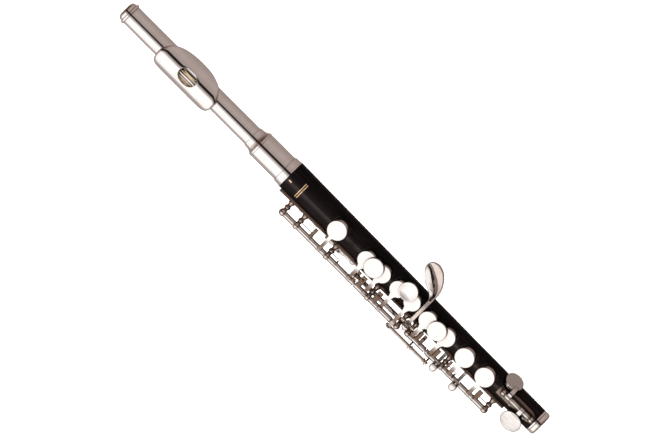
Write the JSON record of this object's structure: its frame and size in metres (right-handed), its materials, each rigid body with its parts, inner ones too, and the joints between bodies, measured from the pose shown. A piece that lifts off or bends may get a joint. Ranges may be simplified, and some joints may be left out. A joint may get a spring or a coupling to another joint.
{
  "type": "piccolo",
  "caption": "Small high flute with a silver head joint, raised lip plate, tapered black wood body and ribbed silver key work on hinge rods.",
  "frame": {"origin": "centre of the bore in the end face of the foot", "axes": "+X along the tube towards the foot end and out of the foot bore, +Z on the tone-hole and embouchure side, -Y on the player's side with the hinge rods"},
  "size_m": [0.3181, 0.0458, 0.03],
  "materials": {
    "silver_plate": "polished silver plate",
    "blackwood": "oiled fine-grained blackwood",
    "riser_brass": "gilt wall inside the embouchure hole",
    "cork": "natural cork",
    "pad_skin": "skin over felt",
    "steel": "ground steel",
    "blued_steel": "blued needle spring"
  },
  "bodies": {
    "body_joint": {"body_tube": "blackwood", "tenon_cork": "cork", "foot_ring": "silver_plate", "post_rib": "silver_plate", "rib_screws": "steel", "underside_ribs": "silver_plate", "left_hand_posts": "silver_plate", "right_hand_posts": "silver_plate", "side_lever_posts": "silver_plate", "trill_posts": "silver_plate", "thumb_key_posts": "silver_plate", "lower_g_shaft_brackets": "silver_plate", "foot_key_saddle": "silver_plate", "left_hand_rod_steel": "steel", "right_hand_rod_steel": "steel", "small_pivot_steels": "steel", "upper_spacer_tube": "silver_plate", "needle_springs": "blued_steel"},
    "head_joint": {"head_tube": "silver_plate", "lip_plate": "silver_plate", "embouchure_riser": "riser_brass", "receiver_sleeve": "silver_plate", "receiver_end_ring": "silver_plate"},
    "crown": {"crown": "silver_plate"},
    "stopper": {"stopper_screw": "riser_brass", "stopper_cork": "cork", "stopper_plates": "riser_brass"},
    "c_key": {"c_key": "silver_plate", "c_key_pad": "pad_skin"},
    "b_key": {"b_key": "silver_plate", "b_key_pad": "pad_skin"},
    "a_key": {"a_key": "silver_plate", "a_key_pad": "pad_skin"},
    "g_key": {"g_key": "silver_plate", "g_key_pad": "pad_skin"},
    "lower_g_key": {"lower_g_key": "silver_plate", "lower_g_key_pad": "pad_skin", "lower_g_shaft": "silver_plate"},
    "f_sharp_key": {"f_sharp_key": "silver_plate", "f_sharp_key_pad": "pad_skin"},
    "f_key": {"f_key": "silver_plate", "f_key_pad": "pad_skin"},
    "e_key": {"e_key": "silver_plate", "e_key_pad": "pad_skin"},
    "d_key": {"d_key": "silver_plate", "d_key_pad": "pad_skin"},
    "g_sharp_key": {"g_sharp_key": "silver_plate", "g_sharp_key_pad": "pad_skin"},
    "d_sharp_key": {"d_sharp_key": "silver_plate", "d_sharp_key_pad": "pad_skin"},
    "d_trill_key": {"d_trill_key": "silver_plate", "d_trill_pad": "pad_skin"},
    "d_sharp_trill_key": {"d_sharp_trill_key": "silver_plate", "d_sharp_trill_pad": "pad_skin"},
    "thumb_b_key": {"thumb_b_key": "silver_plate", "thumb_b_key_pad": "pad_skin"},
    "thumb_b_flat_lever": {"thumb_b_flat_lever": "silver_plate"},
    "b_flat_side_lever": {"b_flat_side_lever": "silver_plate"}
  },
  "joints": [
    {"name": "head_tuning_slide", "type": "slide", "parent": "body_joint", "child": "head_joint", "axis": [-1, 0, 0], "range_m": [0, 0.008]},
    {"name": "crown_turn", "type": "hinge", "parent": "head_joint", "child": "crown", "pos_m": [-0.3138, 0, 0], "axis": [1, 0, 0], "range_deg": [-360, 360]},
    {"name": "stopper_travel", "type": "slide", "parent": "head_joint", "child": "stopper", "axis": [1, 0, 0], "range_m": [-0.00076, 0.00076]},
    {"name": "c_key_hinge", "type": "hinge", "parent": "body_joint", "child": "c_key", "pos_m": [-0.15876, -0.01681, 0.0045], "axis": [-1, 0, 0], "range_deg": [0, 6], "stiffness_Nm_per_rad": 0.02},
    {"name": "b_key_hinge", "type": "hinge", "parent": "body_joint", "child": "b_key", "pos_m": [-0.13608, -0.01681, 0.0045], "axis": [-1, 0, 0], "range_deg": [0, 6], "stiffness_Nm_per_rad": 0.02},
    {"name": "a_key_hinge", "type": "hinge", "parent": "body_joint", "child": "a_key", "pos_m": [-0.12096, -0.01681, 0.0045], "axis": [-1, 0, 0], "range_deg": [0, 6], "stiffness_Nm_per_rad": 0.02},
    {"name": "g_key_hinge", "type": "hinge", "parent": "body_joint", "child": "g_key", "pos_m": [-0.10476, -0.01681, 0.0045], "axis": [-1, 0, 0], "range_deg": [0, 6], "stiffness_Nm_per_rad": 0.02},
    {"name": "lower_g_hinge", "type": "hinge", "parent": "body_joint", "child": "lower_g_key", "pos_m": [-0.08316, -0.0196, 0.00525], "axis": [-1, 0, 0], "range_deg": [0, 5.18], "stiffness_Nm_per_rad": 0.02},
    {"name": "f_sharp_hinge", "type": "hinge", "parent": "body_joint", "child": "f_sharp_key", "pos_m": [-0.07938, -0.01536, 0.0041], "axis": [-1, 0, 0], "range_deg": [0, 6], "stiffness_Nm_per_rad": 0.02},
    {"name": "f_key_hinge", "type": "hinge", "parent": "body_joint", "child": "f_key", "pos_m": [-0.06804, -0.01536, 0.0041], "axis": [-1, 0, 0], "range_deg": [0, 6], "stiffness_Nm_per_rad": 0.02},
    {"name": "e_key_hinge", "type": "hinge", "parent": "body_joint", "child": "e_key", "pos_m": [-0.054, -0.01536, 0.0041], "axis": [-1, 0, 0], "range_deg": [0, 6], "stiffness_Nm_per_rad": 0.02},
    {"name": "d_key_hinge", "type": "hinge", "parent": "body_joint", "child": "d_key", "pos_m": [-0.03888, -0.01536, 0.0041], "axis": [-1, 0, 0], "range_deg": [0, 6], "stiffness_Nm_per_rad": 0.02},
    {"name": "g_sharp_hinge", "type": "hinge", "parent": "body_joint", "child": "g_sharp_key", "pos_m": [-0.09018, -0.0116, 0.0031], "axis": [-1, 0, 0], "range_deg": [0, 7], "stiffness_Nm_per_rad": 0.02},
    {"name": "d_sharp_hinge", "type": "hinge", "parent": "body_joint", "child": "d_sharp_key", "pos_m": [-0.01674, 0.00074, 0.01058], "axis": [1, 0, 0], "range_deg": [0, 9], "stiffness_Nm_per_rad": 0.02},
    {"name": "d_trill_hinge", "type": "hinge", "parent": "body_joint", "child": "d_trill_key", "pos_m": [-0.1134, -0.0096, -0.0072], "axis": [1, 0, 0], "range_deg": [0, 8], "stiffness_Nm_per_rad": 0.02},
    {"name": "d_sharp_trill_hinge", "type": "hinge", "parent": "body_joint", "child": "d_sharp_trill_key", "pos_m": [-0.11178, -0.0096, -0.0072], "axis": [1, 0, 0], "range_deg": [0, 8], "stiffness_Nm_per_rad": 0.02},
    {"name": "thumb_b_hinge", "type": "hinge", "parent": "body_joint", "child": "thumb_b_key", "pos_m": [-0.13878, -0.0125, -0.0092], "axis": [1, 0, 0], "range_deg": [0, 6], "stiffness_Nm_per_rad": 0.02},
    {"name": "thumb_b_flat_hinge", "type": "hinge", "parent": "body_joint", "child": "thumb_b_flat_lever", "pos_m": [-0.1485, -0.0125, -0.0092], "axis": [1, 0, 0], "range_deg": [0, 6], "stiffness_Nm_per_rad": 0.02},
    {"name": "b_flat_lever_hinge", "type": "hinge", "parent": "body_joint", "child": "b_flat_side_lever", "pos_m": [-0.108, -0.0139, 0.0003], "axis": [-1, 0, 0], "range_deg": [0, 5], "stiffness_Nm_per_rad": 0.02}
  ],
  "couplings": [
    {"joint": "stopper_travel", "follows": "crown_turn", "m_per_rad": 0.000119},
    {"joint": "b_key_hinge", "follows": "a_key_hinge", "ratio": 1},
    {"joint": "lower_g_hinge", "follows": "g_key_hinge", "ratio": 0.864},
    {"joint": "f_sharp_hinge", "follows": "f_key_hinge", "ratio": 1},
    {"joint": "thumb_b_hinge", "follows": "thumb_b_flat_hinge", "ratio": 1}
  ]
}
